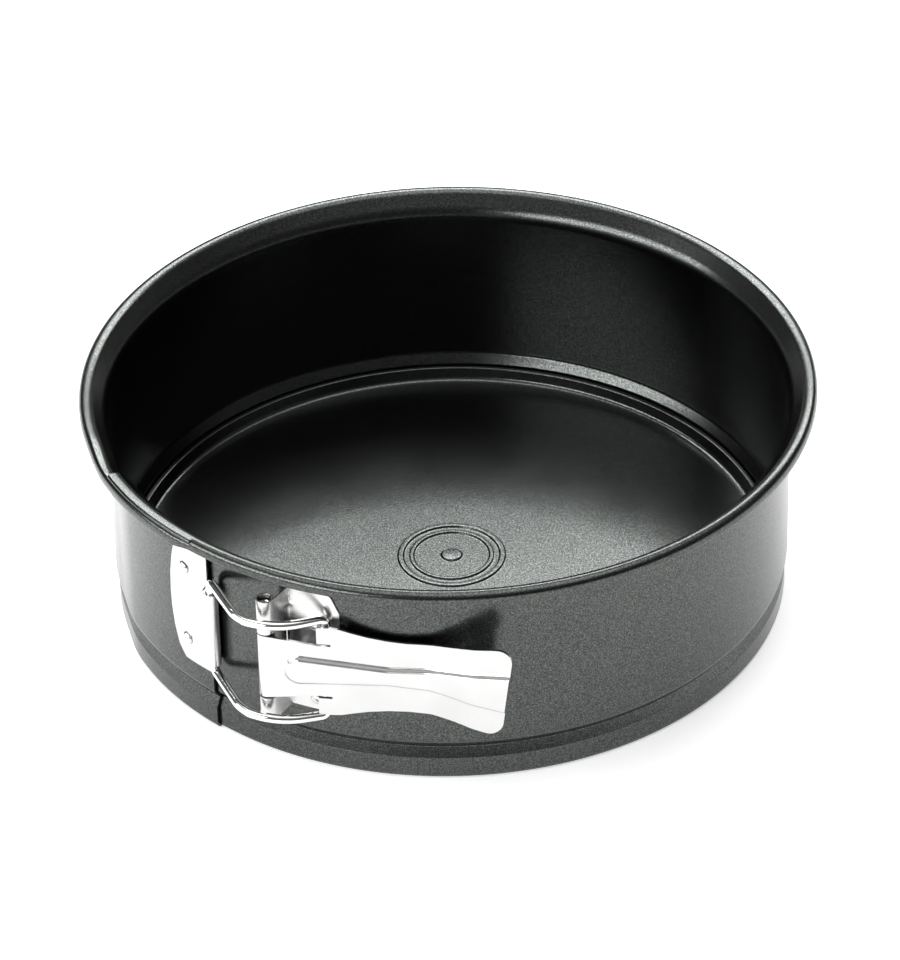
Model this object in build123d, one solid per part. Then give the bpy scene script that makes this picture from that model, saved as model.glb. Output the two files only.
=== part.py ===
"""A springform cake pan: a split side band that springs open, a loose base and an over-centre latch.

Millimetres, +Z up.  The origin lies on the pan's axis, in the plane that the pan stands on, and -Y is
the front.  Azimuths are degrees counted from the front, positive towards +X.
"""
from build123d import *

import os
from math import acos, atan2, cos, hypot, radians, sin

# Side band: one steel sheet, its inner radius, and the profile from the bottom lip to the rim
SHEET = 0.6
WALL_RADIUS = 90.0
HEIGHT = 63.7
LIP_RADIUS = 85.8
BEAD_RADIUS = 89.4
BEAD_TOP = 6.4
NECK_RADIUS = 88.0
NECK_HEIGHT = 9.6
SHOULDER_HEIGHT = 12.4
FLARE_START = 58.6
CREST_RADIUS = 95.1
RIM_RADIUS = 97.7
RIM_DROP = 3.0

# The split in the band, its overlap and the place where the back of the band flexes
SPLIT_AZIMUTH = -43.0
TONGUE_AZIMUTH = -65.0
BACK_AZIMUTH = 180.0
BACK_GAP = 0.05
STEP_OUT = 0.9
STEP_DOWN = 0.9
STEP_CLEAR = 1.2
STEP_SWEEP = 1.0
TONGUE_FOOT = 1.0
TONGUE_RIM_TRIM = 2.2
ROLL_BEND = 1.9
STEPPED_ROLL_BEND = 1.4

# Base plate
BASE_RADIUS = 87.6
BASE_PANEL_TOP = 6.0
BASE_PANEL_RADIUS = 85.2
BASE_EDGE_TOP = 9.6
BASE_FOOT = 0.65
BASE_EDGE_WIDTH = 1.5
EMBOSS_HEIGHT = 0.5
EMBOSS_RINGS = ((14.4, 1.2), (11.2, 0.8))
EMBOSS_DOT = 3.0

# Latch: where its pin, its catch and its link stand
LATCH_MID = 34.3
PIN_AZIMUTH = -29.6
PIN_STANDOFF = 96.3
CATCH_AZIMUTH = -41.7
CATCH_ROLL_STANDOFF = 92.95
WIRE_RADIUS = 1.2
PIN_RADIUS = 1.35
PIN_CLEARANCE = 0.05
BARREL_RADIUS = 2.3
PIN_BOTTOM, PIN_TOP = 17.6, 53.4

# Latch bracket, riveted to the band's right-hand end
BRACKET_SHEET = 0.5
BRACKET_GAP = 0.02
BRACKET_LEFT, BRACKET_RIGHT = -27.2, -18.4
BRACKET_BOTTOM, BRACKET_TOP = 19.0, 56.0
BRACKET_WINDOW = 3.4
KNUCKLE_LOW = (17.2, 24.0)
KNUCKLE_HIGH = (44.2, 54.4)
BRACKET_RIVET_AZIMUTH = -22.7
BRACKET_RIVET_HEIGHTS = (22.6, 46.0)

# Catch plate, riveted to the band's left-hand end
CATCH_SHEET = 0.6
CATCH_ROLL_SHEET = 0.5
CATCH_BOTTOM, CATCH_TOP = 19.0, 55.6
CATCH_ROLL = (23.5, 46.0)
CATCH_WIRE_CLEARANCE = 0.15
CATCH_RIVET_AZIMUTH = -48.4
CATCH_RIVET_HEIGHTS = (25.6, 48.2)

# Rivets
SHANK_RADIUS = 1.1
HEAD_RADIUS = 1.7
HEAD_HEIGHT = 0.8
TAIL_RADIUS = 1.8
TAIL_HEIGHT = 0.35

# Lever: a sheet rolled round the pin, which leans in along the band and kicks out at its end
LEVER_SHEET = 0.7
LEVER_LEAN = 20.06
LEVER_LENGTH = 64.4
LEVER_STRAIGHT = 42.5
LEVER_KICK = 4.0
LEVER_KNUCKLE = (24.5, 43.7)
LEVER_NECK_HALF = 7.9
SHOULDER_START = 13.4
SHOULDER_HALF = 13.8
WAIST_HALF = 10.7
LEVER_END_HALF = 13.2
RELIEF_SLOT = (3.6, 0.7)
RIB_HEIGHT = 1.2
RIB_START = 4.4

# Bail wire: from the lever's shoulders over the knuckles to the catch
LINK_REACH = 15.5
LINK_SINK = 0.15
BAIL_LEVER_HALF = 15.2
BAIL_CATCH_LOW, BAIL_CATCH_HIGH = -12.9, 15.3
BAIL_TIP_HALF = 10.7
BAIL_BOW = ((4.6, 5.4), (-5.2, 5.1))
BAIL_BOW_BENDS = (18.0, 12.0)
BAIL_END_BEND = 1.9


def polar(azimuth, radius, height=0.0):
    """The point at an azimuth and a radius from the pan's axis."""
    angle = radians(azimuth)
    return Vector(radius * sin(angle), -radius * cos(angle), height)


def across(azimuth, radius, from_azimuth):
    """How far to the right of one azimuth's radial line a point at another azimuth lies."""
    return radius * sin(radians(azimuth - from_azimuth))


def facing(azimuth, radius=0.0):
    """A plane that faces straight out of the wall, with X along the wall and Y up."""
    return Plane(origin=polar(azimuth, radius), x_dir=polar(azimuth + 90, 1), z_dir=polar(azimuth, 1))


def sheet_face(points, bends, thickness):
    """A bent sheet's section: the line through the points, thickened on its right-hand side."""
    line = Wire(FilletPolyline(*points, radius=bends))
    return Face(line.offset_2d(thickness, side=Side.RIGHT, closed=True))


def turned(face, start, end):
    """A section in radius and height, turned about the pan's axis between two azimuths."""
    return Rot(Z=start - 90) * revolve(Plane.XZ * face, Axis.Z, revolution_arc=end - start)


def shell(inner, thickness, start, end, low, high):
    """A piece of cylindrical sheet round the pan's axis."""
    face = Pos(inner + thickness / 2, (low + high) / 2) * Rectangle(thickness, high - low)
    return turned(face, start, end)


# --- Side band ---------------------------------------------------------------------------------


def band_section(out=0.0, down=0.0):
    """The band's section along its inner face: bottom lip, bead, neck, wall and rolled rim."""
    points = [
        (LIP_RADIUS + out, SHEET),
        (BEAD_RADIUS + out, SHEET),
        (BEAD_RADIUS + out, BEAD_TOP),
        (NECK_RADIUS + out, NECK_HEIGHT),
        (WALL_RADIUS + out, SHOULDER_HEIGHT),
        (WALL_RADIUS + out, FLARE_START - down / 2),
        (CREST_RADIUS + out, HEIGHT - down),
        (RIM_RADIUS + out / 2, HEIGHT - down),
        (RIM_RADIUS + out / 2, HEIGHT - down - RIM_DROP),
    ]
    roll = STEPPED_ROLL_BEND if out else ROLL_BEND
    return sheet_face(points, [0.9, 0.5, 0.8, 2.0, 6.0, 1.4, roll], SHEET)


def tongue_section():
    """The nested end's section: it has no bottom lip, and its rim stops short of the roll."""
    points = [
        (BEAD_RADIUS, TONGUE_FOOT),
        (BEAD_RADIUS, BEAD_TOP),
        (NECK_RADIUS, NECK_HEIGHT),
        (WALL_RADIUS, SHOULDER_HEIGHT),
        (WALL_RADIUS, FLARE_START),
        (CREST_RADIUS, HEIGHT),
        (CREST_RADIUS + TONGUE_RIM_TRIM, HEIGHT),
    ]
    return sheet_face(points, [0.5, 0.8, 2.0, 6.0, 1.4], SHEET)


def rivet_holes(azimuth, heights):
    """The drills for a pair of rivets, one above the other."""
    drills = [facing(azimuth, 80) * Pos(0, z) * extrude(Circle(SHANK_RADIUS), 20) for z in heights]
    return drills[0] + drills[1]


def band_right():
    """The longer part of the band, whose free end nests inside the other part."""
    band = turned(band_section(), SPLIT_AZIMUTH, BACK_AZIMUTH - BACK_GAP)
    band += turned(tongue_section(), TONGUE_AZIMUTH, SPLIT_AZIMUTH)
    return band - rivet_holes(BRACKET_RIVET_AZIMUTH, BRACKET_RIVET_HEIGHTS)


def band_left():
    """The part that springs open: beyond a small step it passes round the nested end."""
    step = TONGUE_AZIMUTH - STEP_CLEAR
    band = turned(band_section(), BACK_GAP - BACK_AZIMUTH, step)
    band += turned(band_section(STEP_OUT, STEP_DOWN), step - STEP_SWEEP, SPLIT_AZIMUTH)
    joggle = SHEET + STEP_OUT
    band += shell(WALL_RADIUS, joggle, step - STEP_SWEEP, step, SHOULDER_HEIGHT + 1, FLARE_START - 4)
    band += shell(BEAD_RADIUS, joggle, step - STEP_SWEEP, step, SHEET + 1, BEAD_TOP - 1)
    return band - rivet_holes(CATCH_RIVET_AZIMUTH, CATCH_RIVET_HEIGHTS)


# --- Base plate --------------------------------------------------------------------------------


def base_plate():
    """A loose disc with a raised edge, which stands on the band's bottom lip."""
    points = [
        (0, BASE_PANEL_TOP),
        (BASE_PANEL_RADIUS, BASE_PANEL_TOP),
        (BASE_RADIUS - BASE_EDGE_WIDTH, BASE_EDGE_TOP),
        (BASE_RADIUS, BASE_EDGE_TOP),
        (BASE_RADIUS, BASE_FOOT),
    ]
    disc = turned(sheet_face(points, [1.6, 0.5, 0.75], SHEET), 0, 360)
    for radius, width in EMBOSS_RINGS:
        ring = Circle(radius) - Circle(radius - width)
        disc += Pos(0, 0, BASE_PANEL_TOP) * extrude(ring, EMBOSS_HEIGHT)
    return disc + Pos(0, 0, BASE_PANEL_TOP) * extrude(Circle(EMBOSS_DOT), EMBOSS_HEIGHT)


# --- Rivets ------------------------------------------------------------------------------------


def rivet(azimuth, height, seat, tip, tail_seat=None):
    """A rivet through the wall: domed head at its seat, and a low tail inside where there is room."""
    ball = (HEAD_RADIUS**2 + HEAD_HEIGHT**2) / (2 * HEAD_HEIGHT)
    dome = Pos(0, 0, HEAD_HEIGHT - ball) * Sphere(ball)
    dome &= Pos(0, 0, HEAD_HEIGHT / 2) * Cylinder(HEAD_RADIUS, HEAD_HEIGHT)
    solid = dome + Pos(0, 0, (tip - seat) / 2) * Cylinder(SHANK_RADIUS, seat - tip)
    if tail_seat is not None:
        solid += Pos(0, 0, tail_seat - TAIL_HEIGHT / 2 - seat) * Cylinder(TAIL_RADIUS, TAIL_HEIGHT)
    return facing(azimuth, seat) * Pos(0, height) * solid


# --- Latch -------------------------------------------------------------------------------------

PIN_POINT = polar(PIN_AZIMUTH, PIN_STANDOFF)
ALONG = polar(PIN_AZIMUTH + 90, 1)
OUTWARD = polar(PIN_AZIMUTH, 1)
LEVER_ALONG = polar(PIN_AZIMUTH + 90 + LEVER_LEAN, 1)
LEVER_OUT = polar(PIN_AZIMUTH + LEVER_LEAN, 1)
CATCH_POINT = polar(CATCH_AZIMUTH, CATCH_ROLL_STANDOFF)
LINK_DEPTH = BARREL_RADIUS - LEVER_SHEET - WIRE_RADIUS - LINK_SINK


def by_pin(along, outward, height=0.0):
    """A point measured from the pin along the wall, straight out of it, and from the floor."""
    return PIN_POINT + ALONG * along + OUTWARD * outward + Vector(0, 0, height)


def by_lever(along, outward, height=0.0):
    """A point measured from the pin along the lever, square to it, and from the floor."""
    return PIN_POINT + LEVER_ALONG * along + LEVER_OUT * outward + Vector(0, 0, height)


def barrel(outer, bore, low, high):
    """A rolled knuckle round the pin."""
    ring = Circle(outer) - Circle(bore)
    return Pos(PIN_POINT.X, PIN_POINT.Y, low) * extrude(ring, high - low)


def outline(points, plane, depth):
    """A prism over a closed outline, for cutting a bent sheet to its shape."""
    return extrude(plane * make_face(Polyline(*points, close=True)), depth, dir=plane.z_dir)


def upright(face, height):
    """A section drawn on the floor, raised straight up."""
    return extrude(face, height, dir=(0, 0, 1))


def latch_bracket():
    """The plate that holds the pin: flat on the wall, then bent out into two knuckles."""
    inner = WALL_RADIUS + SHEET + BRACKET_GAP
    left = across(BRACKET_LEFT, inner, PIN_AZIMUTH)
    right = across(BRACKET_RIGHT, inner, PIN_AZIMUTH)
    plate = shell(inner, BRACKET_SHEET, BRACKET_LEFT, BRACKET_RIGHT, 10, 60)
    # The flank runs straight from the bend to where it touches the knuckles
    bend_out = (inner + BRACKET_SHEET / 2) * cos(radians(BRACKET_LEFT - PIN_AZIMUTH)) - PIN_STANDOFF
    ring = BARREL_RADIUS - BRACKET_SHEET / 2
    touch = atan2(bend_out, left) + acos(ring / hypot(left, bend_out))
    half = BRACKET_SHEET / 2
    side = (half * cos(touch), half * sin(touch))
    foot, top = (left, bend_out), (ring * cos(touch), ring * sin(touch))
    corners = [
        by_pin(foot[0] + side[0], foot[1] + side[1]),
        by_pin(top[0] + side[0], top[1] + side[1]),
        by_pin(top[0] - side[0], top[1] - side[1]),
        by_pin(foot[0] - side[0], foot[1] - side[1]),
    ]
    plate += upright(make_face(Polyline(*corners, close=True)), 70)
    plate += barrel(BARREL_RADIUS, PIN_RADIUS, 0, 70)
    slot = BRACKET_WINDOW
    shape = [
        (-5, KNUCKLE_HIGH[1]),
        (ring, KNUCKLE_HIGH[1]),
        (left, BRACKET_TOP),
        (right - 2.6, BRACKET_TOP),
        (right, BRACKET_TOP - 5.5),
        (right, BRACKET_BOTTOM + 1.5),
        (right - 1.5, BRACKET_BOTTOM),
        (left, BRACKET_BOTTOM),
        (ring, KNUCKLE_LOW[0]),
        (-5, KNUCKLE_LOW[0]),
        (-5, KNUCKLE_LOW[1]),
        (slot, KNUCKLE_LOW[1]),
        (slot, KNUCKLE_HIGH[0]),
        (-5, KNUCKLE_HIGH[0]),
    ]
    plate &= outline(shape, facing(PIN_AZIMUTH, 80), 30)
    plate -= Pos(PIN_POINT.X, PIN_POINT.Y, 35) * Cylinder(PIN_RADIUS, 60)
    return plate - rivet_holes(BRACKET_RIVET_AZIMUTH, BRACKET_RIVET_HEIGHTS)


def hinge_pin():
    """The lever's pin, a press fit in the bracket's knuckles."""
    length = PIN_TOP - PIN_BOTTOM
    return Pos(PIN_POINT.X, PIN_POINT.Y, PIN_BOTTOM + length / 2) * Cylinder(PIN_RADIUS, length)


def lever_sheet(rise, thickness):
    """The lever's bent sheet, or a layer on it: straight along the wall, then kicked outwards."""
    path = [
        by_lever(-0.01, rise),
        by_lever(LEVER_STRAIGHT, rise),
        by_lever(LEVER_STRAIGHT + 12, rise + LEVER_KICK * 0.7),
        by_lever(LEVER_LENGTH + 2, rise + LEVER_KICK),
    ]
    return upright(sheet_face(path, [14, 14], thickness), 70)


def lever():
    """The operating lever, rolled round the pin, with shoulders, a waist and a raised rib."""
    face_on = Plane(origin=PIN_POINT + Vector(0, 0, LATCH_MID), x_dir=LEVER_ALONG, z_dir=LEVER_OUT)
    sheet = lever_sheet(BARREL_RADIUS - LEVER_SHEET, LEVER_SHEET)
    half = (LEVER_KNUCKLE[1] - LEVER_KNUCKLE[0]) / 2
    upper = [
        (-1, half),
        (0, half),
        (SHOULDER_START, LEVER_NECK_HALF),
        (SHOULDER_START, SHOULDER_HALF),
        (SHOULDER_START + 4, SHOULDER_HALF),
        (SHOULDER_START + 13, WAIST_HALF + 0.9),
        (SHOULDER_START + 22, WAIST_HALF),
        (LEVER_STRAIGHT + 4, WAIST_HALF + 0.6),
        (LEVER_LENGTH - 4, LEVER_END_HALF),
        (LEVER_LENGTH - 1.2, LEVER_END_HALF - 0.8),
        (LEVER_LENGTH, LEVER_END_HALF - 3.5),
    ]
    plate = sheet & outline(mirrored(upper), face_on, 14)
    rib = [
        (RIB_START, 0.0),
        (RIB_START + 0.9, 2.6),
        (RIB_START + 3, 3.9),
        (LEVER_STRAIGHT - 12, 2.2),
        (LEVER_STRAIGHT + 2, 2.6),
        (LEVER_LENGTH, 5.0),
    ]
    plate += lever_sheet(BARREL_RADIUS, RIB_HEIGHT) & outline(mirrored(rib), face_on, 16)
    plate += barrel(BARREL_RADIUS, PIN_RADIUS + PIN_CLEARANCE, *LEVER_KNUCKLE)
    plate -= barrel(PIN_RADIUS + PIN_CLEARANCE, 0.1, 0, 70)
    for side in (-1, 1):
        slot = Pos(SHOULDER_START + RELIEF_SLOT[0] / 2, side * (LEVER_NECK_HALF + RELIEF_SLOT[1] / 2))
        plate -= extrude(face_on * slot * Rectangle(RELIEF_SLOT[0], RELIEF_SLOT[1]), 6)
    return plate


def mirrored(upper):
    """A closed outline from its upper half, mirrored below."""
    return upper + [(x, -y) for x, y in reversed(upper) if y > 0]


def bail():
    """The wire link: two bowed arms, the cross-piece in the catch and the two inturned tips."""
    lever_end = by_lever(LINK_REACH, LINK_DEPTH)
    span = (CATCH_POINT - lever_end).length
    route = []
    for side, at_catch in ((1, BAIL_CATCH_HIGH), (-1, BAIL_CATCH_LOW)):
        at_lever = side * BAIL_LEVER_HALF
        arm = [lever_end + Vector(0, 0, LATCH_MID + side * BAIL_TIP_HALF)]
        for place in (lever_end, *(by_pin(*bow) for bow in BAIL_BOW), CATCH_POINT):
            share = (place - lever_end).length / span
            arm.append(place + Vector(0, 0, LATCH_MID + at_lever + (at_catch - at_lever) * share))
        route += arm if side == 1 else arm[::-1]
    bends = [BAIL_END_BEND, *BAIL_BOW_BENDS, BAIL_END_BEND]
    path = FilletPolyline(*route, radius=bends + bends[::-1])
    start_plane = Plane(origin=route[0], z_dir=route[1] - route[0])
    return sweep(start_plane * Circle(WIRE_RADIUS), path=path)


def catch_plate():
    """The plate that the wire pulls on: riveted to the band's end, its edge rolled round the wire."""
    inner = WALL_RADIUS + STEP_OUT + SHEET + BRACKET_GAP
    bore = WIRE_RADIUS + CATCH_WIRE_CLEARANCE
    low, high = CATCH_ROLL
    middle = CATCH_RIVET_AZIMUTH
    ear, roll = across(SPLIT_AZIMUTH, inner, middle), across(CATCH_AZIMUTH, inner, middle)
    edge = Polyline((-3.2, CATCH_TOP), (ear, CATCH_TOP), (ear, high + 1.4), (ear - 2.2, high - 2.2))
    edge += Polyline((ear - 2.2, high - 2.2), (ear, high), (roll, high), (roll, low), (ear, low))
    edge += Polyline((ear, low), (ear, CATCH_BOTTOM), (-0.8, CATCH_BOTTOM))
    edge += Spline((-0.8, CATCH_BOTTOM), (-3.6, CATCH_BOTTOM + 3.2), (-6.2, 38), (-3.2, CATCH_TOP))
    plate = shell(inner, CATCH_SHEET, -60, CATCH_AZIMUTH, 10, 60)
    plate &= extrude(facing(middle, 80) * make_face(edge), 30, dir=polar(middle, 1))
    tube = Circle(bore + CATCH_ROLL_SHEET) - Circle(bore)
    plate += Pos(CATCH_POINT.X, CATCH_POINT.Y, low) * extrude(tube, high - low)
    plate -= Pos(CATCH_POINT.X, CATCH_POINT.Y, (low + high) / 2) * Cylinder(bore, high - low + 4)
    return plate - rivet_holes(CATCH_RIVET_AZIMUTH, CATCH_RIVET_HEIGHTS)


def pair(azimuth, heights, seat, tip, tail_seat=None):
    """The rivets of one plate, one above the other."""
    return [rivet(azimuth, z, seat, tip, tail_seat) for z in heights]


def main():
    os.makedirs("parts", exist_ok=True)
    bracket_seat = WALL_RADIUS + SHEET + BRACKET_GAP + BRACKET_SHEET
    catch_seat = WALL_RADIUS + STEP_OUT + SHEET + BRACKET_GAP + CATCH_SHEET
    bracket_rivets = pair(
        BRACKET_RIVET_AZIMUTH, BRACKET_RIVET_HEIGHTS, bracket_seat, WALL_RADIUS - 0.05, WALL_RADIUS - 0.02
    )
    catch_rivets = pair(CATCH_RIVET_AZIMUTH, CATCH_RIVET_HEIGHTS, catch_seat, WALL_RADIUS + STEP_OUT)
    nodes = {
        "band_right": band_right(),
        "band_left": band_left(),
        "base_plate": base_plate(),
        "latch_bracket": latch_bracket(),
        "bracket_rivet_lower": bracket_rivets[0],
        "bracket_rivet_upper": bracket_rivets[1],
        "hinge_pin": hinge_pin(),
        "latch_lever": lever(),
        "bail_wire": bail(),
        "catch_plate": catch_plate(),
        "catch_rivet_lower": catch_rivets[0],
        "catch_rivet_upper": catch_rivets[1],
    }
    for name, solid in nodes.items():
        export_step(solid, f"parts/{name}.step")


main()
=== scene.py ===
"""Looks of the springform pan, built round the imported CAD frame.

Lengths in the code are millimetres and are scaled to metres where a mesh is made.  Azimuths are
degrees counted from the front, positive towards +X, as in the CAD part.
"""

from math import acos, atan2, cos, hypot, pi, radians, sin, sqrt

import bmesh
import bpy
import numpy as np
from mathutils import Matrix, Vector


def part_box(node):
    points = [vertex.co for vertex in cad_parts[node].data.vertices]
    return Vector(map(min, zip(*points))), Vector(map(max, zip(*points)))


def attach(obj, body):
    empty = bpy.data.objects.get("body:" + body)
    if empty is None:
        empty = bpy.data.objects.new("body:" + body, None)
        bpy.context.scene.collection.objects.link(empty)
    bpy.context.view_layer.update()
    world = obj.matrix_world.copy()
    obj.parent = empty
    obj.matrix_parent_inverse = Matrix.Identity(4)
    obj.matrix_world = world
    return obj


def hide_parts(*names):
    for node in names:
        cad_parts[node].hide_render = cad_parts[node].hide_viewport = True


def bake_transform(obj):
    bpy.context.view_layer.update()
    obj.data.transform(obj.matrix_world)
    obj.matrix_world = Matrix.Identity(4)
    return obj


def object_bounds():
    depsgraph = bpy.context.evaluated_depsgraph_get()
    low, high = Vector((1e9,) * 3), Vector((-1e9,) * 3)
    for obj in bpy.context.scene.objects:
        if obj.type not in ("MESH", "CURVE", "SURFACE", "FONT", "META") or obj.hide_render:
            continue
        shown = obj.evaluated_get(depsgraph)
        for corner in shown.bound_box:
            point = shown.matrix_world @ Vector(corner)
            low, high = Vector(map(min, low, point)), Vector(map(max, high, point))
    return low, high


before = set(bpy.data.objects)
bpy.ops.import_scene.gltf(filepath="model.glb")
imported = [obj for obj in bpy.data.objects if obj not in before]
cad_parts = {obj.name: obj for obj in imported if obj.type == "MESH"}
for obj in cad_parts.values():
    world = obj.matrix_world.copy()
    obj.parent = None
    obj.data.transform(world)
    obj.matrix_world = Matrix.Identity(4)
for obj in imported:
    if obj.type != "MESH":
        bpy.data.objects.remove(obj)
CAD_BOX = [list(corner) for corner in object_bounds()]

MM = 0.001

# Band, as in the CAD part but for a rounder crest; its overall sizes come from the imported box
SHEET = 0.6
HEIGHT = CAD_BOX[1][2] / MM
RIM_RADIUS = CAD_BOX[1][1] / MM
WALL_RADIUS = 90.0
LIP_RADIUS = 85.8
BEAD_RADIUS = 89.4
BEAD_TOP = 6.4
NECK_RADIUS = 88.0
NECK_HEIGHT = 9.6
SHOULDER_HEIGHT = 12.4
FLARE_START = 58.6
CREST_RADIUS = 94.6
RIM_DROP = 3.0
# Radii of the bends, from the lip at the foot to the flare, and then over the rim
BENDS_TO_FLARE = [0.9, 0.5, 0.8, 2.0, 6.0]
CREST_BEND, ROLL_BEND, STEPPED_ROLL_BEND = 2.4, 1.9, 1.4
# The tongue's foot and rim are cut short
TONGUE_FOOT = 1.0
TONGUE_RIM_INSET, TONGUE_RIM_DROP = 0.4, 0.8
TONGUE_RIM_BENDS = [2.2, 0.8]

# Azimuths: the split, the end of the tongue inside it, and the stretch at the back that flexes
SPLIT, TONGUE, BACK = -43.0, -65.0, 180.0
BACK_HALF = 30.0

# The left half is stepped out over the tongue, from the joggle on, and its rim dips there until it
# comes level again close to the split
STEP_OUT = STEP_DOWN = 0.9
JOGGLE = (-76.0, -66.3)
LEVEL_REACH = 4.0

# Sweeps take a section at each azimuth step, and closer ones at both ends
AZIMUTH_STEP = 0.75
SEAM_STEPS = (0.05, 0.15, 0.35)

# Base plate
BASE_RADIUS = 87.6
PANEL_TOP = 6.0
PANEL_RADIUS = 85.2
BASE_EDGE_TOP = 9.6
BASE_FOOT = 0.65
BASE_EDGE_WIDTH = 1.5
BASE_EDGE_BENDS = [1.6, 0.5, 0.75]
BOSS_RADIUS, BOSS_SLOPE, BOSS_BEND = 2.5, 0.5, 0.3
RINGS = ((11.2, 0.8), (14.4, 1.2))
RING_SLOPE, RING_BEND = 0.3, 0.2
EMBOSS = 0.5

# Latch
LATCH_MID = 34.3
PIN_AZIMUTH = -29.6
PIN_STANDOFF = 96.3
CATCH_AZIMUTH = -41.7
CATCH_ROLL_STANDOFF = 92.95
WIRE_RADIUS = 1.2
WIRE_PLAY = 0.15
PIN_RADIUS = 1.35
BARREL_RADIUS = 2.3
PLATE_GAP = 0.02

# Lever
LEVER_LEAN = 20.06
LEVER_SHEET = 0.7
LEVER_LENGTH = 64.4
LEVER_HALF = 13.5
LEVER_CORNER = 4.2

# Bail wire: its tips under the lever's shoulders, its arms' heights at both ends, and the bow between
LINK_REACH, LINK_SINK = 15.5, 0.15
BAIL_TIP_HALF, BAIL_LEVER_HALF = 10.7, 15.2
BAIL_CATCH_HEIGHTS = (15.3, -12.9)
BAIL_BOW = ((4.6, 5.4), (-5.2, 5.1))
BAIL_BENDS = [1.9, 18.0, 12.0, 1.9]

# Bracket, catch plate and their rivets
BRACKET_SHEET = 0.5
# Each knuckle's lowest and highest point
KNUCKLE_LOW, KNUCKLE_HIGH = (17.2, 24.0), (44.2, 54.4)
CATCH_SHEET = 0.55
CATCH_MIDDLE = -48.4
BRACKET_RIVETS = -22.7
RIVET_RADIUS, RIVET_RISE, SHANK_RADIUS = 1.85, 0.95, 1.1


# --- Plane and space helpers --------------------------------------------------------------------


def polar(azimuth, radius, height=0.0):
    """The point at an azimuth and a radius from the pan's axis."""
    a = radians(azimuth)
    return np.array([radius * sin(a), -radius * cos(a), height])


PIN = polar(PIN_AZIMUTH, PIN_STANDOFF)
ALONG, OUTWARD = polar(PIN_AZIMUTH + 90, 1), polar(PIN_AZIMUTH, 1)
LEVER_ALONG, LEVER_OUT = polar(PIN_AZIMUTH + 90 + LEVER_LEAN, 1), polar(PIN_AZIMUTH + LEVER_LEAN, 1)
CATCH = polar(CATCH_AZIMUTH, CATCH_ROLL_STANDOFF)


def by_pin(along, outward):
    """A point placed from the pin, along the wall's tangent there and outwards."""
    return PIN + ALONG * along + OUTWARD * outward


def by_lever(along, outward):
    """A point placed from the pin, along the closed lever and outwards from it."""
    return PIN + LEVER_ALONG * along + LEVER_OUT * outward


def smooth(x):
    """0 below 0, 1 above 1, and a soft step between."""
    t = np.clip(x, 0, 1)
    return t * t * (3 - 2 * t)


def filleted(points, radii, arc=7, near=0.35, long_run=4):
    """A polyline in 2-D or 3-D with its inner corners rounded.

    Runs longer than long_run are divided, with points close to each bend.
    """
    p = [np.asarray(q, float) for q in points]
    bends = []
    for i, r in enumerate(radii, start=1):
        back, ahead = p[i - 1] - p[i], p[i + 1] - p[i]
        back, ahead = back / np.linalg.norm(back), ahead / np.linalg.norm(ahead)
        turn = pi - acos(float(np.clip(back @ ahead, -1, 1)))
        inward = (back + ahead) / np.linalg.norm(back + ahead)
        middle = p[i] + inward * r / cos(turn / 2)
        spoke = (p[i] + back * r * np.tan(turn / 2) - middle) / r
        bends.append([middle + r * (spoke * cos(t) - back * sin(t)) for t in np.linspace(0, turn, arc)])
    out = [p[0]]
    for i, bend in enumerate(bends + [[p[-1]]]):
        here, there = out[-1], bend[0]
        length = np.linalg.norm(p[i + 1] - p[i])
        if length > long_run:
            count = max(2, int(length / long_run))
            shares = [near / length] + [k / count for k in range(1, count)] + [1 - near / length]
            out += [here + (there - here) * s for s in shares]
        out += bend
    return np.array(out)


def offset(line, distance):
    """The line moved to its right-hand side, point by point."""
    d = np.gradient(line, axis=0)
    steps = np.diff(line, axis=0)
    unit = steps / np.linalg.norm(steps, axis=1)[:, None]
    d[1:-1] = unit[:-1] + unit[1:]
    d[0], d[-1] = unit[0], unit[-1]
    d /= np.linalg.norm(d, axis=1)[:, None]
    corner = np.ones(len(line))
    corner[1:-1] = np.clip(np.sum(d[1:-1] * unit[:-1], axis=1), 0.5, 1)
    return line + np.stack([d[:, 1], -d[:, 0]], 1) * (distance / corner)[:, None]


def sheet_section(points, radii, thickness):
    """A closed section: the line, its offset on the right, and rounded ends between them."""
    face = filleted(points, radii)
    back = offset(face, thickness)

    def round_end(a, b, forward):
        middle, half = (a + b) / 2, (a - b) / 2
        bulge = forward * thickness / 2
        return [middle + half * cos(t) + bulge * sin(t) for t in np.linspace(0, pi, 7)[1:-1]]

    tip, tail = face[-1] - face[-2], face[0] - face[1]
    tip, tail = tip / np.linalg.norm(tip), tail / np.linalg.norm(tail)
    for line in (face, back):
        line[-1] -= tip * thickness / 2
        line[0] -= tail * thickness / 2
    ends = round_end(face[-1], back[-1], tip), round_end(back[0], face[0], tail)
    return np.array([*face, *ends[0], *back[::-1], *ends[1]])


# --- Mesh helpers -------------------------------------------------------------------------------


def add_mesh(name, vertices, faces, sharp=38):
    """A mesh object from millimetre points, smooth but for edges sharper than an angle."""
    mesh = bpy.data.meshes.new(name)
    mesh.from_pydata([tuple(float(c) * MM for c in v) for v in vertices], [], faces)
    mesh.validate()
    mesh.update()
    obj = bpy.data.objects.new(name, mesh)
    bpy.context.scene.collection.objects.link(obj)
    bpy.context.view_layer.objects.active = obj
    tidy_mesh(mesh)
    mesh.polygons.foreach_set("use_smooth", [True] * len(mesh.polygons))
    mesh.set_sharp_from_angle(angle=radians(sharp))
    return obj


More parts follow.
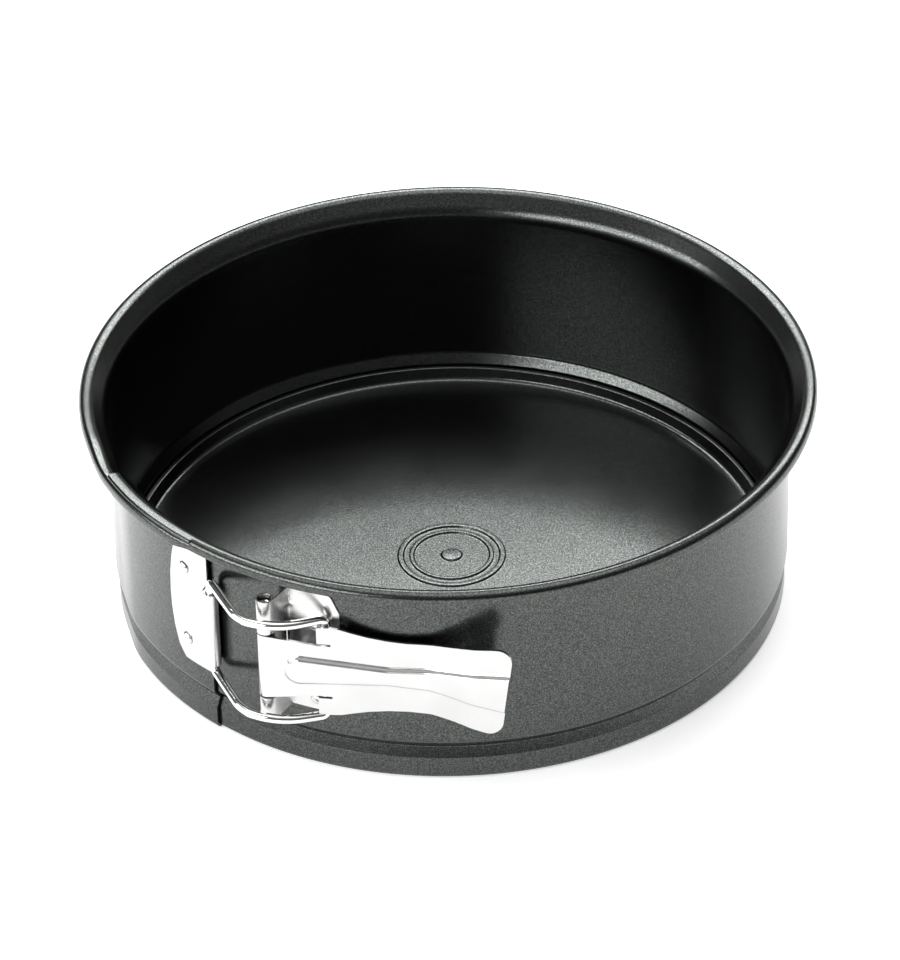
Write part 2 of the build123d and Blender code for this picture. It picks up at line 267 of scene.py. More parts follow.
def tidy_mesh(mesh):
    """Welds coincident points and turns every face outwards."""
    bm = bmesh.new()
    bm.from_mesh(mesh)
    bmesh.ops.remove_doubles(bm, verts=bm.verts, dist=1e-6)
    bmesh.ops.dissolve_degenerate(bm, edges=bm.edges, dist=1e-7)
    loose = [v for v in bm.verts if not v.link_faces]
    bmesh.ops.delete(bm, geom=loose, context="VERTS")
    bmesh.ops.recalc_face_normals(bm, faces=bm.faces)
    bm.to_mesh(mesh)
    bm.free()


def azimuths(start, end):
    """Azimuths from start to end, close together at both ends so that pieces meet without a seam."""
    count = max(2, round((end - start) / AZIMUTH_STEP))
    inner = [start + (end - start) * k / count for k in range(1, count)]
    return [start] + [start + s for s in SEAM_STEPS] + inner + [end - s for s in SEAM_STEPS[::-1]] + [end]


def swept(name, section, start, end):
    """Sections in radius and height swept round the pan's axis; section(azimuth) gives the points."""
    turns = azimuths(start, end)
    rings = [section(a) for a in turns]
    n = len(rings[0])
    vertices = [polar(a, r, z) for a, ring in zip(turns, rings) for r, z in ring]
    faces = []
    for k in range(len(turns) - 1):
        for i in range(n):
            j = (i + 1) % n
            faces.append((k * n + i, k * n + j, (k + 1) * n + j, (k + 1) * n + i))
    last = (len(turns) - 1) * n
    faces.append(tuple(range(n))[::-1])
    faces.append(tuple(last + i for i in range(n)))
    return add_mesh(name, vertices, faces)


def lathe(name, profile, centre, axis, count=48):
    """A profile of radius and height turned about an axis through a point; ends at radius 0 close."""
    axis = np.asarray(axis, float)
    upright = abs(axis[2]) > 0.9
    side = np.cross(axis, [1, 0, 0] if upright else [0, 0, 1])
    side /= np.linalg.norm(side)
    other = np.cross(axis, side)
    vertices, faces = [], []
    n = len(profile)
    for k in range(count):
        t = 2 * pi * k / count
        u = side * cos(t) + other * sin(t)
        vertices += [centre + u * r + axis * h for r, h in profile]
    for k in range(count):
        m = (k + 1) % count
        for i in range(n - 1):
            faces.append((k * n + i, k * n + i + 1, m * n + i + 1, m * n + i))
    return add_mesh(name, vertices, faces, 40)


def sheet_plate(name, outer, direction, keep, thickness, edge):
    """A bent sheet on a grid of points of its outer face, its cells kept or cut away.

    Each point has the direction in which the sheet's thickness lies behind it.
    """
    nu, nv = outer.shape[:2]
    inner = outer - direction * thickness
    vertices = np.concatenate([outer.reshape(-1, 3), inner.reshape(-1, 3)])
    places = [tuple(p) for p in np.round(outer.reshape(-1, 3), 4)]
    shift = nu * nv
    faces, rims = [], {}
    for i in range(nu - 1):
        for j in range(nv - 1):
            if not keep[i][j]:
                continue
            quad = (i * nv + j, (i + 1) * nv + j, (i + 1) * nv + j + 1, i * nv + j + 1)
            faces += [quad, tuple(shift + q for q in quad[::-1])]
            for a, b in zip(quad, quad[1:] + quad[:1]):
                here, there = places[a], places[b]
                if here == there:
                    continue
                if (there, here) in rims:
                    del rims[(there, here)]
                else:
                    rims[(here, there)] = (a, b)
    faces += [(b, a, shift + a, shift + b) for a, b in rims.values()]
    obj = add_mesh(name, vertices, faces, 40)
    soften(obj, edge)
    return obj


def upright_plate(name, line, normals, heights, keep, thickness, relief, edge):
    """A sheet_plate() of upright columns at (x, y) points, each with its own row of heights."""
    line, normals = np.asarray(line)[:, :2], np.asarray(normals)[:, :2]
    outer = np.zeros((*np.shape(heights), 3))
    outer[..., :2] = line[:, None] + normals[:, None] * relief[..., None]
    outer[..., 2] = heights
    direction = np.zeros_like(outer)
    direction[..., :2] = normals[:, None]
    return sheet_plate(name, outer, direction, keep, thickness, edge)


def soften(obj, width):
    """A narrow bevel on the cut edges, so that they catch the light."""
    bevel = obj.modifiers.new("edges", "BEVEL")
    bevel.width = width * MM
    bevel.segments = 2
    bevel.limit_method = "ANGLE"
    bevel.angle_limit = radians(50)


def tube(name, path, radius, sides=28):
    """A round wire along a path, with domed ends."""
    path = np.asarray(path, float)
    tangent = np.gradient(path, axis=0)
    tangent /= np.linalg.norm(tangent, axis=1)[:, None]
    normal = np.cross(tangent[0], [0.3, 0.2, 0.93])
    normal /= np.linalg.norm(normal)
    rings = []
    for k, t in enumerate(tangent):
        normal = normal - t * (normal @ t)
        normal /= np.linalg.norm(normal)
        rings.append((path[k], normal.copy(), np.cross(t, normal), 1.0))
    dome = [(0.35, 0.94), (0.72, 0.7), (0.94, 0.34)]
    first, last = rings[0], rings[-1]
    front = [(first[0] - tangent[0] * radius * d, first[1], first[2], s) for d, s in dome[::-1]]
    back = [(last[0] + tangent[-1] * radius * d, last[1], last[2], s) for d, s in dome]
    rings = front + rings + back
    vertices = [
        c + (u * cos(2 * pi * k / sides) + v * sin(2 * pi * k / sides)) * radius * s
        for c, u, v, s in rings
        for k in range(sides)
    ]
    faces = [
        (r * sides + k, r * sides + (k + 1) % sides, (r + 1) * sides + (k + 1) % sides, (r + 1) * sides + k)
        for r in range(len(rings) - 1)
        for k in range(sides)
    ]
    faces.append(tuple(range(sides))[::-1])
    faces.append(tuple((len(rings) - 1) * sides + k for k in range(sides)))
    return add_mesh(name, vertices, faces, 60)


# --- Materials ----------------------------------------------------------------------------------


def new_material(name):
    """An empty material with its principled shader and a texture coordinate node."""
    mat = bpy.data.materials.new(name)
    mat.use_nodes = True
    nodes, links = mat.node_tree.nodes, mat.node_tree.links
    nodes.clear()
    out = nodes.new("ShaderNodeOutputMaterial")
    shader = nodes.new("ShaderNodeBsdfPrincipled")
    links.new(shader.outputs[0], out.inputs[0])
    place = nodes.new("ShaderNodeTexCoord")
    return mat, nodes, links, shader, place


def noise(nodes, links, place, scale, detail=2.0, rough=0.5):
    """A noise texture in the object's own space, its scale per metre."""
    tex = nodes.new("ShaderNodeTexNoise")
    tex.inputs["Scale"].default_value = scale
    tex.inputs["Detail"].default_value = detail
    tex.inputs["Roughness"].default_value = rough
    links.new(place.outputs["Object"], tex.inputs["Vector"])
    return tex


def ramp(nodes, links, source, stops):
    """A colour ramp over a source; each stop is a place and a grey or a colour."""
    node = nodes.new("ShaderNodeValToRGB")
    links.new(source, node.inputs[0])
    while len(node.color_ramp.elements) < len(stops):
        node.color_ramp.elements.new(0.5)
    for element, (place, value) in zip(node.color_ramp.elements, stops):
        element.position = place
        value = value if isinstance(value, tuple) else (value,) * 3
        element.color = (*value, 1)
    return node


def bump(nodes, links, shader, height, strength, distance):
    """Puts fine relief on a shader's normal."""
    node = nodes.new("ShaderNodeBump")
    node.inputs["Strength"].default_value = strength
    node.inputs["Distance"].default_value = distance
    links.new(height, node.inputs["Height"])
    links.new(node.outputs[0], shader.inputs["Normal"])


def scaled(nodes, links, source, factor, plus=0.0):
    """A node that gives source times factor, plus a number."""
    node = nodes.new("ShaderNodeMath")
    node.operation = "MULTIPLY_ADD"
    links.new(source, node.inputs[0])
    node.inputs[1].default_value = factor
    node.inputs[2].default_value = plus
    return node


def coated_steel():
    """Dark non-stick coating with a fine metallic fleck."""
    mat, nodes, links, shader, place = new_material("coated_steel")
    grain = noise(nodes, links, place, 2700, 2.0, 0.6)
    fleck = nodes.new("ShaderNodeTexVoronoi")
    fleck.inputs["Scale"].default_value = 2400
    links.new(place.outputs["Object"], fleck.inputs["Vector"])
    broad = noise(nodes, links, place, 60, 3.0)
    dark, middle, bright = (0.046, 0.049, 0.047), (0.078, 0.083, 0.080), (0.140, 0.148, 0.142)
    colour = ramp(nodes, links, grain.outputs[0], [(0.36, dark), (0.5, middle), (0.64, bright)])
    links.new(colour.outputs[0], shader.inputs["Base Color"])
    mixed = scaled(nodes, links, fleck.outputs["Color"], 0.35)
    links.new(broad.outputs[0], mixed.inputs[2])
    rough = ramp(nodes, links, mixed.outputs[0], [(0.35, 0.20), (0.95, 0.245)])
    links.new(rough.outputs[0], shader.inputs["Roughness"])
    shader.inputs["Metallic"].default_value = 1.0
    bump(nodes, links, shader, grain.outputs[0], 0.2, 0.00005)
    return mat


def tinned_steel():
    """Bright tin plate with faint rolling marks and a soft mottle."""
    mat, nodes, links, shader, place = new_material("tinned_steel")
    stretch = nodes.new("ShaderNodeMapping")
    stretch.inputs["Scale"].default_value = (1, 1, 6)
    links.new(place.outputs["Object"], stretch.inputs["Vector"])
    lines = noise(nodes, links, place, 260, 4.0, 0.6)
    links.new(stretch.outputs[0], lines.inputs["Vector"])
    cloud = noise(nodes, links, place, 90, 3.0)
    dull, bright = (0.67, 0.67, 0.665), (0.71, 0.71, 0.705)
    colour = ramp(nodes, links, cloud.outputs[0], [(0.3, dull), (0.7, bright)])
    links.new(colour.outputs[0], shader.inputs["Base Color"])
    rough = ramp(nodes, links, lines.outputs[0], [(0.3, 0.20), (0.7, 0.26)])
    links.new(rough.outputs[0], shader.inputs["Roughness"])
    shader.inputs["Metallic"].default_value = 1.0
    bump(nodes, links, shader, cloud.outputs[0], 0.10, 0.00006)
    return mat


def bright_wire():
    """Nickel-plated wire, nearly a mirror, with faint drawing marks."""
    mat, nodes, links, shader, place = new_material("bright_wire")
    marks = noise(nodes, links, place, 900, 3.0, 0.6)
    dull, bright = (0.84, 0.84, 0.83), (0.92, 0.92, 0.91)
    colour = ramp(nodes, links, marks.outputs[0], [(0.3, dull), (0.7, bright)])
    links.new(colour.outputs[0], shader.inputs["Base Color"])
    rough = ramp(nodes, links, marks.outputs[0], [(0.35, 0.05), (0.7, 0.12)])
    links.new(rough.outputs[0], shader.inputs["Roughness"])
    shader.inputs["Metallic"].default_value = 1.0
    bump(nodes, links, shader, marks.outputs[0], 0.05, 0.00004)
    return mat


def pale_floor():
    """The plain floor, which glows a little so that the shadow on it is faint."""
    mat, nodes, links, shader, place = new_material("pale_floor")
    cloud = noise(nodes, links, place, 3, 2.0)
    colour = ramp(nodes, links, cloud.outputs[0], [(0.3, 0.90), (0.7, 0.93)])
    links.new(colour.outputs[0], shader.inputs["Base Color"])
    shader.inputs["Roughness"].default_value = 0.9
    shader.inputs["Emission Color"].default_value = (1, 1, 1, 1)
    shader.inputs["Emission Strength"].default_value = 0.50
    return mat


# --- Band ---------------------------------------------------------------------------------------


def band_points(out=0.0, down=0.0, flush=False):
    """The band's section in radius and height; flush brings a stepped rim level with a plain one."""
    rim_out, rim_low = (0, 0) if flush else (out / 2, down)
    points = [
        (LIP_RADIUS + out, SHEET),
        (BEAD_RADIUS + out, SHEET),
        (BEAD_RADIUS + out, BEAD_TOP),
        (NECK_RADIUS + out, NECK_HEIGHT),
        (WALL_RADIUS + out, SHOULDER_HEIGHT),
        (WALL_RADIUS + out, FLARE_START - down / 2),
        (CREST_RADIUS + out, HEIGHT - down),
        (RIM_RADIUS + rim_out, HEIGHT - down),
        (RIM_RADIUS + rim_out, HEIGHT - rim_low - RIM_DROP),
    ]
    roll_bend = STEPPED_ROLL_BEND if out else ROLL_BEND
    return sheet_section(points, [*BENDS_TO_FLARE, CREST_BEND, roll_bend], SHEET)


def tongue_points():
    """The tongue's section: the band's, with its foot and rim cut short so that it nests inside."""
    points = [
        (BEAD_RADIUS, TONGUE_FOOT),
        (BEAD_RADIUS, BEAD_TOP),
        (NECK_RADIUS, NECK_HEIGHT),
        (WALL_RADIUS, SHOULDER_HEIGHT),
        (WALL_RADIUS, FLARE_START),
        (CREST_RADIUS, HEIGHT),
        (RIM_RADIUS - TONGUE_RIM_INSET, HEIGHT),
        (RIM_RADIUS, HEIGHT - TONGUE_RIM_DROP),
    ]
    return sheet_section(points, [*BENDS_TO_FLARE[1:], *TONGUE_RIM_BENDS], SHEET)


def band_skins(coat):
    """The band in four skins: the right half, its tongue, the left half and the back that flexes."""
    plain, stepped, tongue = band_points(), band_points(STEP_OUT, STEP_DOWN), tongue_points()
    ended = band_points(STEP_OUT, STEP_DOWN, flush=True)

    def left(azimuth):
        share = float(smooth((azimuth - JOGGLE[0]) / (JOGGLE[1] - JOGGLE[0])))
        near_end = float(smooth((azimuth - SPLIT) / LEVEL_REACH + 1))
        return plain * (1 - share) + (stepped * (1 - near_end) + ended * near_end) * share

    right = swept("band_right_skin", lambda a: plain, SPLIT, BACK - BACK_HALF)
    nested = swept("band_right_tongue", lambda a: tongue, TONGUE, SPLIT)
    rear = swept("band_back_skin", lambda a: plain, BACK - BACK_HALF, BACK + BACK_HALF)
    spring = swept("band_left_skin", left, BACK_HALF - BACK, SPLIT)
    for piece in (right, nested, rear, spring):
        piece.data.materials.append(coat)
    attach(right, "fixed_side")
    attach(nested, "fixed_side")
    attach(spring, "spring_side")
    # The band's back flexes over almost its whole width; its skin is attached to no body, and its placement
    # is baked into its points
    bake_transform(rear)
    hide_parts("band_right")
    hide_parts("band_left")
    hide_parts("band_right", "band_left")


def base_plate(coat):
    """The loose base with its raised edge and plain embossed rings."""
    rings_top = PANEL_TOP + EMBOSS
    top = [(0, rings_top), (BOSS_RADIUS, rings_top), (BOSS_RADIUS + BOSS_SLOPE, PANEL_TOP)]
    for radius, width in RINGS:
        top += [
            (radius - width - RING_SLOPE, PANEL_TOP),
            (radius - width, rings_top),
            (radius, rings_top),
            (radius + RING_SLOPE, PANEL_TOP),
        ]
    edge = [
        (PANEL_RADIUS, PANEL_TOP),
        (BASE_RADIUS - BASE_EDGE_WIDTH, BASE_EDGE_TOP),
        (BASE_RADIUS, BASE_EDGE_TOP),
        (BASE_RADIUS, BASE_FOOT),
    ]
    radii = [BOSS_BEND] * 2 + [RING_BEND] * 4 * len(RINGS) + BASE_EDGE_BENDS
    face = filleted(top + edge, radii, 6)
    under = offset(filleted([(0, PANEL_TOP)] + edge, BASE_EDGE_BENDS, 6), SHEET)
    under[0] = (0, PANEL_TOP - SHEET)
    profile = [*face, *under[::-1]]
    obj = lathe("base_plate_skin", profile, np.zeros(3), (0, 0, 1), 480)
    obj.data.materials.append(coat)
    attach(obj, "base")
    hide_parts("base_plate")


# --- Latch --------------------------------------------------------------------------------------


def lever(tin):
    """The lever: rolled round the pin, slotted shoulders, waist, flared end and a pressed rib."""
    corner = LEVER_LENGTH - LEVER_CORNER
    slot_start, slot_end, slot_low, slot_high = 13.4, 17.0, 7.9, 8.6
    roll_half, roll_turn = 9.6, 292
    us = np.unique(np.round(np.concatenate([
        np.linspace(0, slot_start, 34),
        np.linspace(slot_start, slot_end, 10),
        np.linspace(slot_end, corner, 104),
        corner + LEVER_CORNER * np.sin(np.linspace(0, pi / 2, 14)),
    ]), 4))
    # From the side: straight, then kicked out from the wall towards the free end
    side_line = filleted([
        (0, BARREL_RADIUS),
        (42.5, BARREL_RADIUS),
        (54.5, BARREL_RADIUS + 2.8),
        (LEVER_LENGTH + 2, BARREL_RADIUS + 4),
    ], [14, 14])
    rise = np.interp(us, side_line[:, 0], side_line[:, 1])
    slope = np.gradient(rise, us)
    line = [by_lever(u, r) for u, r in zip(us, rise)]
    normals = [(LEVER_OUT - LEVER_ALONG * s) / sqrt(1 + s * s) for s in slope]
    # The roll continues from the sheet's start round the pin
    roll = np.radians(np.linspace(roll_turn, 0, 44)[:-1])
    curl = [by_lever(-BARREL_RADIUS * sin(t), BARREL_RADIUS * cos(t)) for t in roll]
    curl_normals = [LEVER_ALONG * -sin(t) + LEVER_OUT * cos(t) for t in roll]
    # From the front: half widths at distances from the pin
    outline = [
        (slot_start, LEVER_HALF), (17, 13.7), (19.2, 13.5), (22.6, 12.6), (26.6, 11.7), (31.6, 11.0),
        (36.6, 10.7), (42.6, 10.9), (48.6, 11.6), (54.8, 12.5), (59.6, 13.2), (LEVER_LENGTH, LEVER_HALF),
    ]
    inner_rows = np.linspace(-1, 1, 57)
    outer_rows = np.linspace(0, 1, 12)
    heights, relief = [], []
    for u in [0.0] * len(curl) + list(us):
        inner = roll_half + (slot_low - roll_half) * float(np.clip(u / slot_start, 0, 1))
        outer = float(np.interp(u, *zip(*outline)))
        lip = max(slot_high, inner + 0.5)
        if u > corner:
            outer -= LEVER_CORNER - sqrt(max(LEVER_CORNER**2 - (u - corner) ** 2, 0))
            inner = min(inner, outer - 1.0)
            lip = inner + 0.5
        shoulder = lip + (outer - lip) * outer_rows
        row = np.concatenate([-shoulder[::-1], inner_rows * inner, shoulder])
        heights.append(LATCH_MID + row)
        relief.append(rib_height(u, row))
    # No shoulders beside the roll, and a slot between each shoulder's root and the middle
    keep = np.ones((len(heights) - 1, len(heights[0]) - 1), bool)
    shoulder_rows = len(outer_rows)
    columns = [-1.0] * len(curl) + list(us)
    for i, (here, there) in enumerate(zip(columns, columns[1:])):
        if here < 0 or (here + there) / 2 < slot_start:
            keep[i, :shoulder_rows] = keep[i, -shoulder_rows:] = False
        elif (here + there) / 2 < slot_end:
            keep[i, shoulder_rows - 1] = keep[i, -shoulder_rows] = False
    obj = upright_plate(
        "lever_sheet", curl + line, curl_normals + normals, heights, keep, LEVER_SHEET, np.array(relief), 0.1
    )
    slant(obj)
    obj.data.materials.append(tin)
    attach(obj, "lever")
    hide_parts("latch_lever")


def slant(obj):
    """Draws the lever's lower corner back, so that its free end is cut at a slant."""
    reach, start, slope = 3.4, 46.0, 0.12
    for vertex in obj.data.vertices:
        point = np.array(vertex.co) / MM
        u, v = (point - PIN) @ LEVER_ALONG, point[2] - LATCH_MID
        share = float(smooth((u - start) / (LEVER_LENGTH - start)))
        back = reach * share * (0.5 - v / LEVER_HALF / 2)
        vertex.co = (point - (LEVER_ALONG + LEVER_OUT * slope) * back) * MM


def rib_height(u, v):
    """How far the pressed rib stands out at a distance along the lever and a height across it."""
    start, end_half, rise, flank = 9.0, 4.6, 1.15, 1.35
    outline = [(8, end_half), (19, 3.9), (31.6, 3.1), (43.6, 3.8), (54.6, 5.2), (LEVER_LENGTH, 6.2)]
    if u < start:
        reach = end_half - np.hypot(v, start - u)
    else:
        reach = np.interp(u, *zip(*outline)) - np.abs(v)
    return rise * smooth(reach / flank)


def bracket(tin):
    """The bracket: flat on the wall, bent out, and rolled into two knuckles round the pin."""
    left, right, roll_turn = -27.2, -18.4, 312
    plate_low, plate_top = 19, 56
    mid = WALL_RADIUS + SHEET + PLATE_GAP + BRACKET_SHEET / 2

    def to_local(point):
        return (point - PIN) @ ALONG, (point - PIN) @ OUTWARD

    # Seen from above, by the pin: on the wall, a straight flank, and the roll it is tangent to
    flat = [to_local(polar(a, mid)) for a in np.linspace(right, left, 26)]
    foot, far = np.array(flat[-1]), flat[0][0]
    ring = BARREL_RADIUS - BRACKET_SHEET / 2
    touch = atan2(foot[1], foot[0]) + acos(ring / hypot(*foot))
    tangent = np.array([ring * cos(touch), ring * sin(touch)])
    flank = [foot + (tangent - foot) * s for s in (0.08, 0.16, 0.3, 0.45, 0.6, 0.75, 0.88)]
    turns = touch + np.radians(np.linspace(0, roll_turn, 48))
    points = np.array(flat + flank + [np.array([ring * cos(t), ring * sin(t)]) for t in turns])
    roll_start = len(flat) + len(flank)
    step = np.gradient(points, axis=0)
    step /= np.linalg.norm(step, axis=1)[:, None]
    normal = np.stack([step[:, 1], -step[:, 0]], 1)
    line = [by_pin(*p) for p in points + normal * BRACKET_SHEET / 2]
    normals = [ALONG * n[0] + OUTWARD * n[1] for n in normal]

    # Heights: rows below, beside and above the window, with the plate's corners cut at its far end
    low_rows, window_rows, high_rows = 8, 14, 16
    rows = []
    for k, p in enumerate(points):
        x = p[0] if k < roll_start else ring
        top_line = [
            (ring, KNUCKLE_HIGH[1]), (foot[0], plate_top),
            (far - 3.2, plate_top), (far - 2.2, 55.4), (far, 50.5),
        ]
        low_line = [(ring, KNUCKLE_LOW[0]), (foot[0], plate_low), (far - 1.5, plate_low), (far, 20.5)]
        rows.append(np.concatenate([
            np.linspace(np.interp(x, *zip(*low_line)), KNUCKLE_LOW[1], low_rows),
            np.linspace(KNUCKLE_LOW[1], KNUCKLE_HIGH[0], window_rows)[1:],
            np.linspace(KNUCKLE_HIGH[0], np.interp(x, *zip(*top_line)), high_rows)[1:],
        ]))
    rows = np.array(rows)
    # The window runs on from the flank's column that is nearest to its edge
    window_edge = 3.4
    beside = points[len(flat):roll_start + 1, 0]
    cut = len(flat) + int(np.argmin(np.abs(beside - window_edge)))
    keep = np.ones((rows.shape[0] - 1, rows.shape[1] - 1), bool)
    keep[cut:, low_rows - 1:low_rows + window_rows - 2] = False
    # A pressed dimple stiffens the bend above the window
    relief = np.zeros_like(rows)
    dimple, half_columns, dimple_height, half_height = 25, 4, 51.3, 1.5
    for k in range(18, 30):
        across = abs(k - dimple) / half_columns
        relief[k] = 0.45 * smooth(1 - np.hypot(across, (rows[k] - dimple_height) / half_height))
    obj = upright_plate("bracket_sheet", line, normals, rows, keep, BRACKET_SHEET, relief, 0.08)
    obj.data.materials.append(tin)
    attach(obj, "fixed_side")
    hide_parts("latch_bracket")


def catch(tin):
    """The catch plate: curved on the wall, notched at the right, and rolled there round the wire."""
    face_radius = WALL_RADIUS + STEP_OUT + SHEET + PLATE_GAP + CATCH_SHEET
    base, roll_low, roll_high, top = 19.0, 23.5, 46.0, 55.6
    notch_depth, notch_height, notch_drop, notch_rise = 2.2, 43.8, 2.2, 3.6
    right = face_radius * sin(radians(SPLIT - CATCH_MIDDLE))
    left_line = [
        (base, -0.9), (20, -1.9), (22.2, -3.6), (27, -5.1), (33, -6.0),
        (38, -6.2), (44, -5.9), (50, -4.9), (top, -3.3),
    ]
    leftmost = -6.0
    base_rows = np.linspace(base, roll_low, 8)
    lower = np.concatenate([base_rows, np.linspace(roll_low, notch_height, 22)[1:]])
    upper = np.linspace(notch_height, top, 15)
    shares = np.concatenate([np.linspace(0, 0.72, 20)[:-1], np.linspace(0.72, 1, 12)])

    # On the wall: each share of the width from the left edge to the split is one column
    wall, wall_out = [], []
    for share in shares:
        x = leftmost + share * (right - leftmost)
        gap = max(0.0, (x - (right - notch_depth)) / notch_depth)
        below, above = lower.copy(), upper.copy()
        sunk = (notch_height + notch_drop * gap - roll_low) / (notch_height - roll_low)
        below[len(base_rows):] = roll_low + (below[len(base_rows):] - roll_low) * sunk
        above = top - (top - above) * ((top - notch_height - notch_rise * gap) / (top - notch_height))
        z = np.concatenate([below, above])
        start = np.interp(z, *zip(*left_line))
        azimuth = CATCH_MIDDLE + np.degrees(np.arcsin((start + share * (right - start)) / face_radius))
        wall.append([polar(a, face_radius, h) for a, h in zip(azimuth, z)])
        wall_out.append([polar(a, 1) for a in azimuth])

    # Seen from above, past the split: a short bend off the wall, then the roll round the wire
    ring, bend_columns = WIRE_RADIUS + WIRE_PLAY, 4
    shares_out = [(k + 1) / (bend_columns + 1) for k in range(bend_columns)]
    standoff = CATCH_ROLL_STANDOFF - ring
    plan, plan_out = [], []
    for share in shares_out:
        azimuth = SPLIT + (CATCH_AZIMUTH - SPLIT) * share
        plan.append(polar(azimuth, float(face_radius + (standoff - face_radius) * smooth(share))))
        plan_out.append(polar(azimuth, 1))
    across, outward = polar(CATCH_AZIMUTH + 90, 1), polar(CATCH_AZIMUTH, 1)
    for t in np.radians(np.linspace(-90, 205, 40)):
        spoke = across * cos(t) + outward * sin(t)
        plan.append(CATCH + spoke * ring)
        plan_out.append(-spoke)

    # The wall part and the roll share their rows, so one grid holds both
    roll_rows = np.concatenate([base_rows, np.linspace(roll_low, roll_high, 22)[1:]])
    cells = len(lower) + len(upper)
    roll_z = [roll_rows[min(j, len(roll_rows) - 1)] for j in range(cells)]
    grid = np.array(wall + [[(p[0], p[1], z) for z in roll_z] for p in plan])
    direction = np.array(wall_out + [[d] * cells for d in plan_out])
    keep = np.ones((len(grid) - 1, cells - 1), bool)
    last_wall = len(shares) - 1
    keep[:last_wall, len(lower) - 1] = False
    keep[last_wall:, len(roll_rows) - 1:] = False
    keep[last_wall:, :len(base_rows) - 1] = False
    obj = sheet_plate("catch_sheet", grid, direction, keep, CATCH_SHEET, 0.08)
    obj.data.materials.append(tin)
    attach(obj, "spring_side")
    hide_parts("catch_plate")


def bail(wire):
    """The bowed wire link between the lever's shoulders and the catch."""
    depth = BARREL_RADIUS - LEVER_SHEET - WIRE_RADIUS - LINK_SINK
    lever_end = by_lever(LINK_REACH, depth)
    span = np.linalg.norm(CATCH - lever_end)
    route = []
    for side, at_catch in zip((1, -1), BAIL_CATCH_HEIGHTS):
        at_lever = side * BAIL_LEVER_HALF
        arm = [lever_end + np.array([0, 0, LATCH_MID + side * BAIL_TIP_HALF])]
        for place in (lever_end, *(by_pin(*bow) for bow in BAIL_BOW), CATCH):
            share = np.linalg.norm(place - lever_end) / span
            arm.append(place + np.array([0, 0, LATCH_MID + at_lever + (at_catch - at_lever) * share]))
        route += arm if side == 1 else arm[::-1]
    obj = tube("bail_link", filleted(route, BAIL_BENDS + BAIL_BENDS[::-1], 12, 0.5), WIRE_RADIUS)
    obj.data.materials.append(wire)
    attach(obj, "bail")
    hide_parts("bail_wire")


def pin(wire):
    """The hinge pin, its ends a little domed inside the knuckles."""
    low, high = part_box("hinge_pin")
    bottom, top = low.z / MM, high.z / MM
    r = PIN_RADIUS
    end = [(0, 0), (r * 0.6, 0.06), (r - 0.25, 0.2), (r - 0.06, 0.35), (r, 0.6), (r, 6)]
    profile = [(width, bottom + h) for width, h in end] + [(width, top - h) for width, h in end[::-1]]
    obj = lathe("pin_rod", profile, PIN, (0, 0, 1), 40)
    obj.data.materials.append(wire)
    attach(obj, "fixed_side")
    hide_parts("hinge_pin")


def rivets(tin):
    """Four domed rivets, with low tails inside where there is room."""
    bracket_seat = WALL_RADIUS + SHEET + PLATE_GAP + BRACKET_SHEET
    catch_seat = WALL_RADIUS + STEP_OUT + SHEET + PLATE_GAP + CATCH_SHEET + 0.05
    plan = [
        ("bracket_rivet_lower", BRACKET_RIVETS, 22.6, bracket_seat, "fixed_side"),
        ("bracket_rivet_upper", BRACKET_RIVETS, 46.0, bracket_seat, "fixed_side"),
        ("catch_rivet_lower", CATCH_MIDDLE, 25.6, catch_seat, "spring_side"),
        ("catch_rivet_upper", CATCH_MIDDLE, 48.2, catch_seat, "spring_side"),
    ]
    dome = [(RIVET_RADIUS * sin(t), RIVET_RISE * cos(t)) for t in np.linspace(0, pi / 2, 12)]
    # Tails as radius and height past the wall's inner face; the catch's are flush, over the tongue
    clenched = [(SHANK_RADIUS, 0.05), (1.75, -0.02), (1.8, -0.1), (1.6, -0.28), (0.9, -0.36), (0, -0.37)]
    flush = [(SHANK_RADIUS, 0.1), (0.9, 0.02), (0, 0)]
    for node, azimuth, height, seat, body in plan:
        inside, tail = WALL_RADIUS - seat, clenched
        if body == "spring_side":
            inside, tail = inside + STEP_OUT, flush
        profile = dome + [(SHANK_RADIUS, -0.1)] + [(radius, inside + h) for radius, h in tail]
        obj = lathe(node + "_head", profile, polar(azimuth, seat, height), polar(azimuth, 1), 40)
        obj.data.materials.append(tin)
        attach(obj, body)
        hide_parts(node)


# --- Studio -------------------------------------------------------------------------------------


def area_light(name, place, target, size, power):
    """A rectangular light in metres and watts that faces a target."""
    data = bpy.data.lights.new(name, "AREA")
    data.shape = "RECTANGLE"
    data.size, data.size_y = size
    data.energy = power
    obj = bpy.data.objects.new(name, data)
    bpy.context.scene.collection.objects.link(obj)
    obj.location = place
    obj.rotation_euler = (Vector(target) - Vector(place)).to_track_quat("-Z", "Y").to_euler()
    return obj


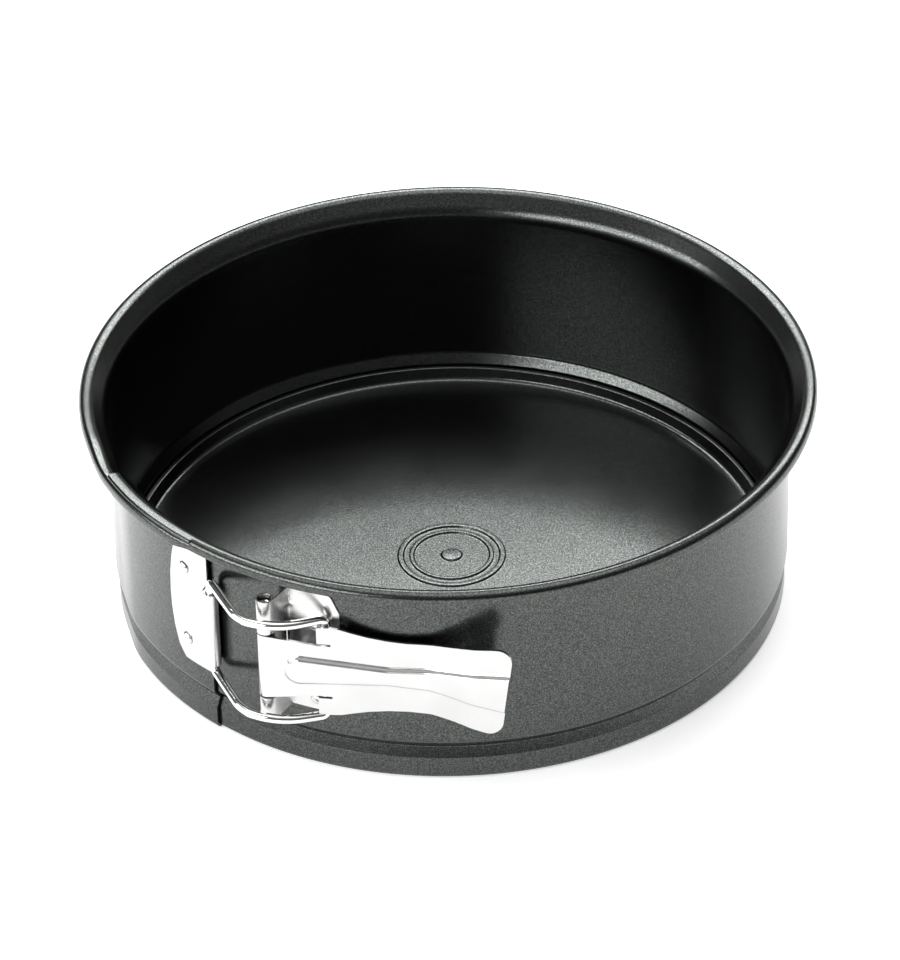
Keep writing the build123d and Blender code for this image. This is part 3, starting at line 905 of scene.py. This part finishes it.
def studio():
    """Pale floor, a dim sky, and three lights: overhead, close behind, and low at the left."""
    mesh = bpy.data.meshes.new("floor")
    half = 4.0
    corners = [(-half, -half, 0), (half, -half, 0), (half, half, 0), (-half, half, 0)]
    mesh.from_pydata(corners, [], [(0, 1, 2, 3)])
    obj = bpy.data.objects.new("floor", mesh)
    bpy.context.scene.collection.objects.link(obj)
    mesh.materials.append(pale_floor())
    world = bpy.data.worlds.new("world")
    bpy.context.scene.world = world
    world.use_nodes = True
    nodes, links = world.node_tree.nodes, world.node_tree.links
    back = nodes["Background"]
    place = nodes.new("ShaderNodeTexCoord")
    split = nodes.new("ShaderNodeSeparateXYZ")
    links.new(place.outputs["Generated"], split.inputs[0])
    # The room is dark between the horizon's glow and the light overhead; y tells front from rear
    depth = scaled(nodes, links, split.outputs[1], 0.5, 0.5)
    side = ramp(nodes, links, depth.outputs[0], [(0.30, 0.0), (0.56, 1.0)])
    front = ramp(nodes, links, split.outputs[2], [
        (0.0, 0.16), (0.17, 0.03), (0.44, 0.02), (0.66, 0.04), (0.84, 0.10), (0.95, 0.28)])
    rear = ramp(nodes, links, split.outputs[2], [
        (0.0, 0.16), (0.14, 0.03), (0.60, 0.03), (0.80, 0.10), (0.95, 0.28)])
    glow = nodes.new("ShaderNodeMix")
    glow.data_type = "RGBA"
    links.new(side.outputs[0], glow.inputs["Factor"])
    colours = [socket for socket in glow.inputs if socket.type == "RGBA"]
    links.new(front.outputs[0], colours[0])
    links.new(rear.outputs[0], colours[1])
    links.new(next(socket for socket in glow.outputs if socket.type == "RGBA"), back.inputs[0])
    back.inputs[1].default_value = 4.0
    area_light("key", (0.0, 0.2, 2.2), (0, 0, 0.0), (2.4, 1.8), 12)
    softbox = area_light("softbox", (0.04, 0.46, 0.46), (0.04, 0.46, 0.0), (0.90, 0.28), 6.6)
    softbox.rotation_euler = (0, 0, radians(12))
    area_light("left_strip", (-0.80, -0.45, 0.47), (0, 0, 0.03), (1.3, 0.4), 8.5)
    bpy.context.scene.view_settings.view_transform = "Standard"


def camera():
    """The camera, where the object was seen from: above the front, far off with a long lens."""
    distance, elevation, pitch, roll = 1.3925, 34.899, -0.033, -1.312
    target = Vector((0, 0, HEIGHT * MM / 2))
    e, p, r = radians(elevation), radians(pitch), radians(roll)
    forward = Vector((0, cos(e), -sin(e)))
    right, up = Vector((1, 0, 0)), Vector((0, sin(e), cos(e)))
    place = target - forward * distance
    look, up = forward * cos(p) + up * sin(p), up * cos(p) - forward * sin(p)
    right, up = right * cos(r) + up * sin(r), up * cos(r) - right * sin(r)
    data = bpy.data.cameras.new("camera")
    data.sensor_width = 36
    data.lens = 194.87
    data.clip_end = 20
    obj = bpy.data.objects.new("camera", data)
    bpy.context.scene.collection.objects.link(obj)
    turn = Matrix((right, up, -look)).transposed()
    obj.matrix_world = Matrix.Translation(place) @ turn.to_4x4()
    bpy.context.scene.camera = obj


def main():
    coat, tin, wire = coated_steel(), tinned_steel(), bright_wire()
    band_skins(coat)
    base_plate(coat)
    lever(tin)
    bracket(tin)
    catch(tin)
    bail(wire)
    pin(wire)
    rivets(tin)
    studio()
    camera()


main()
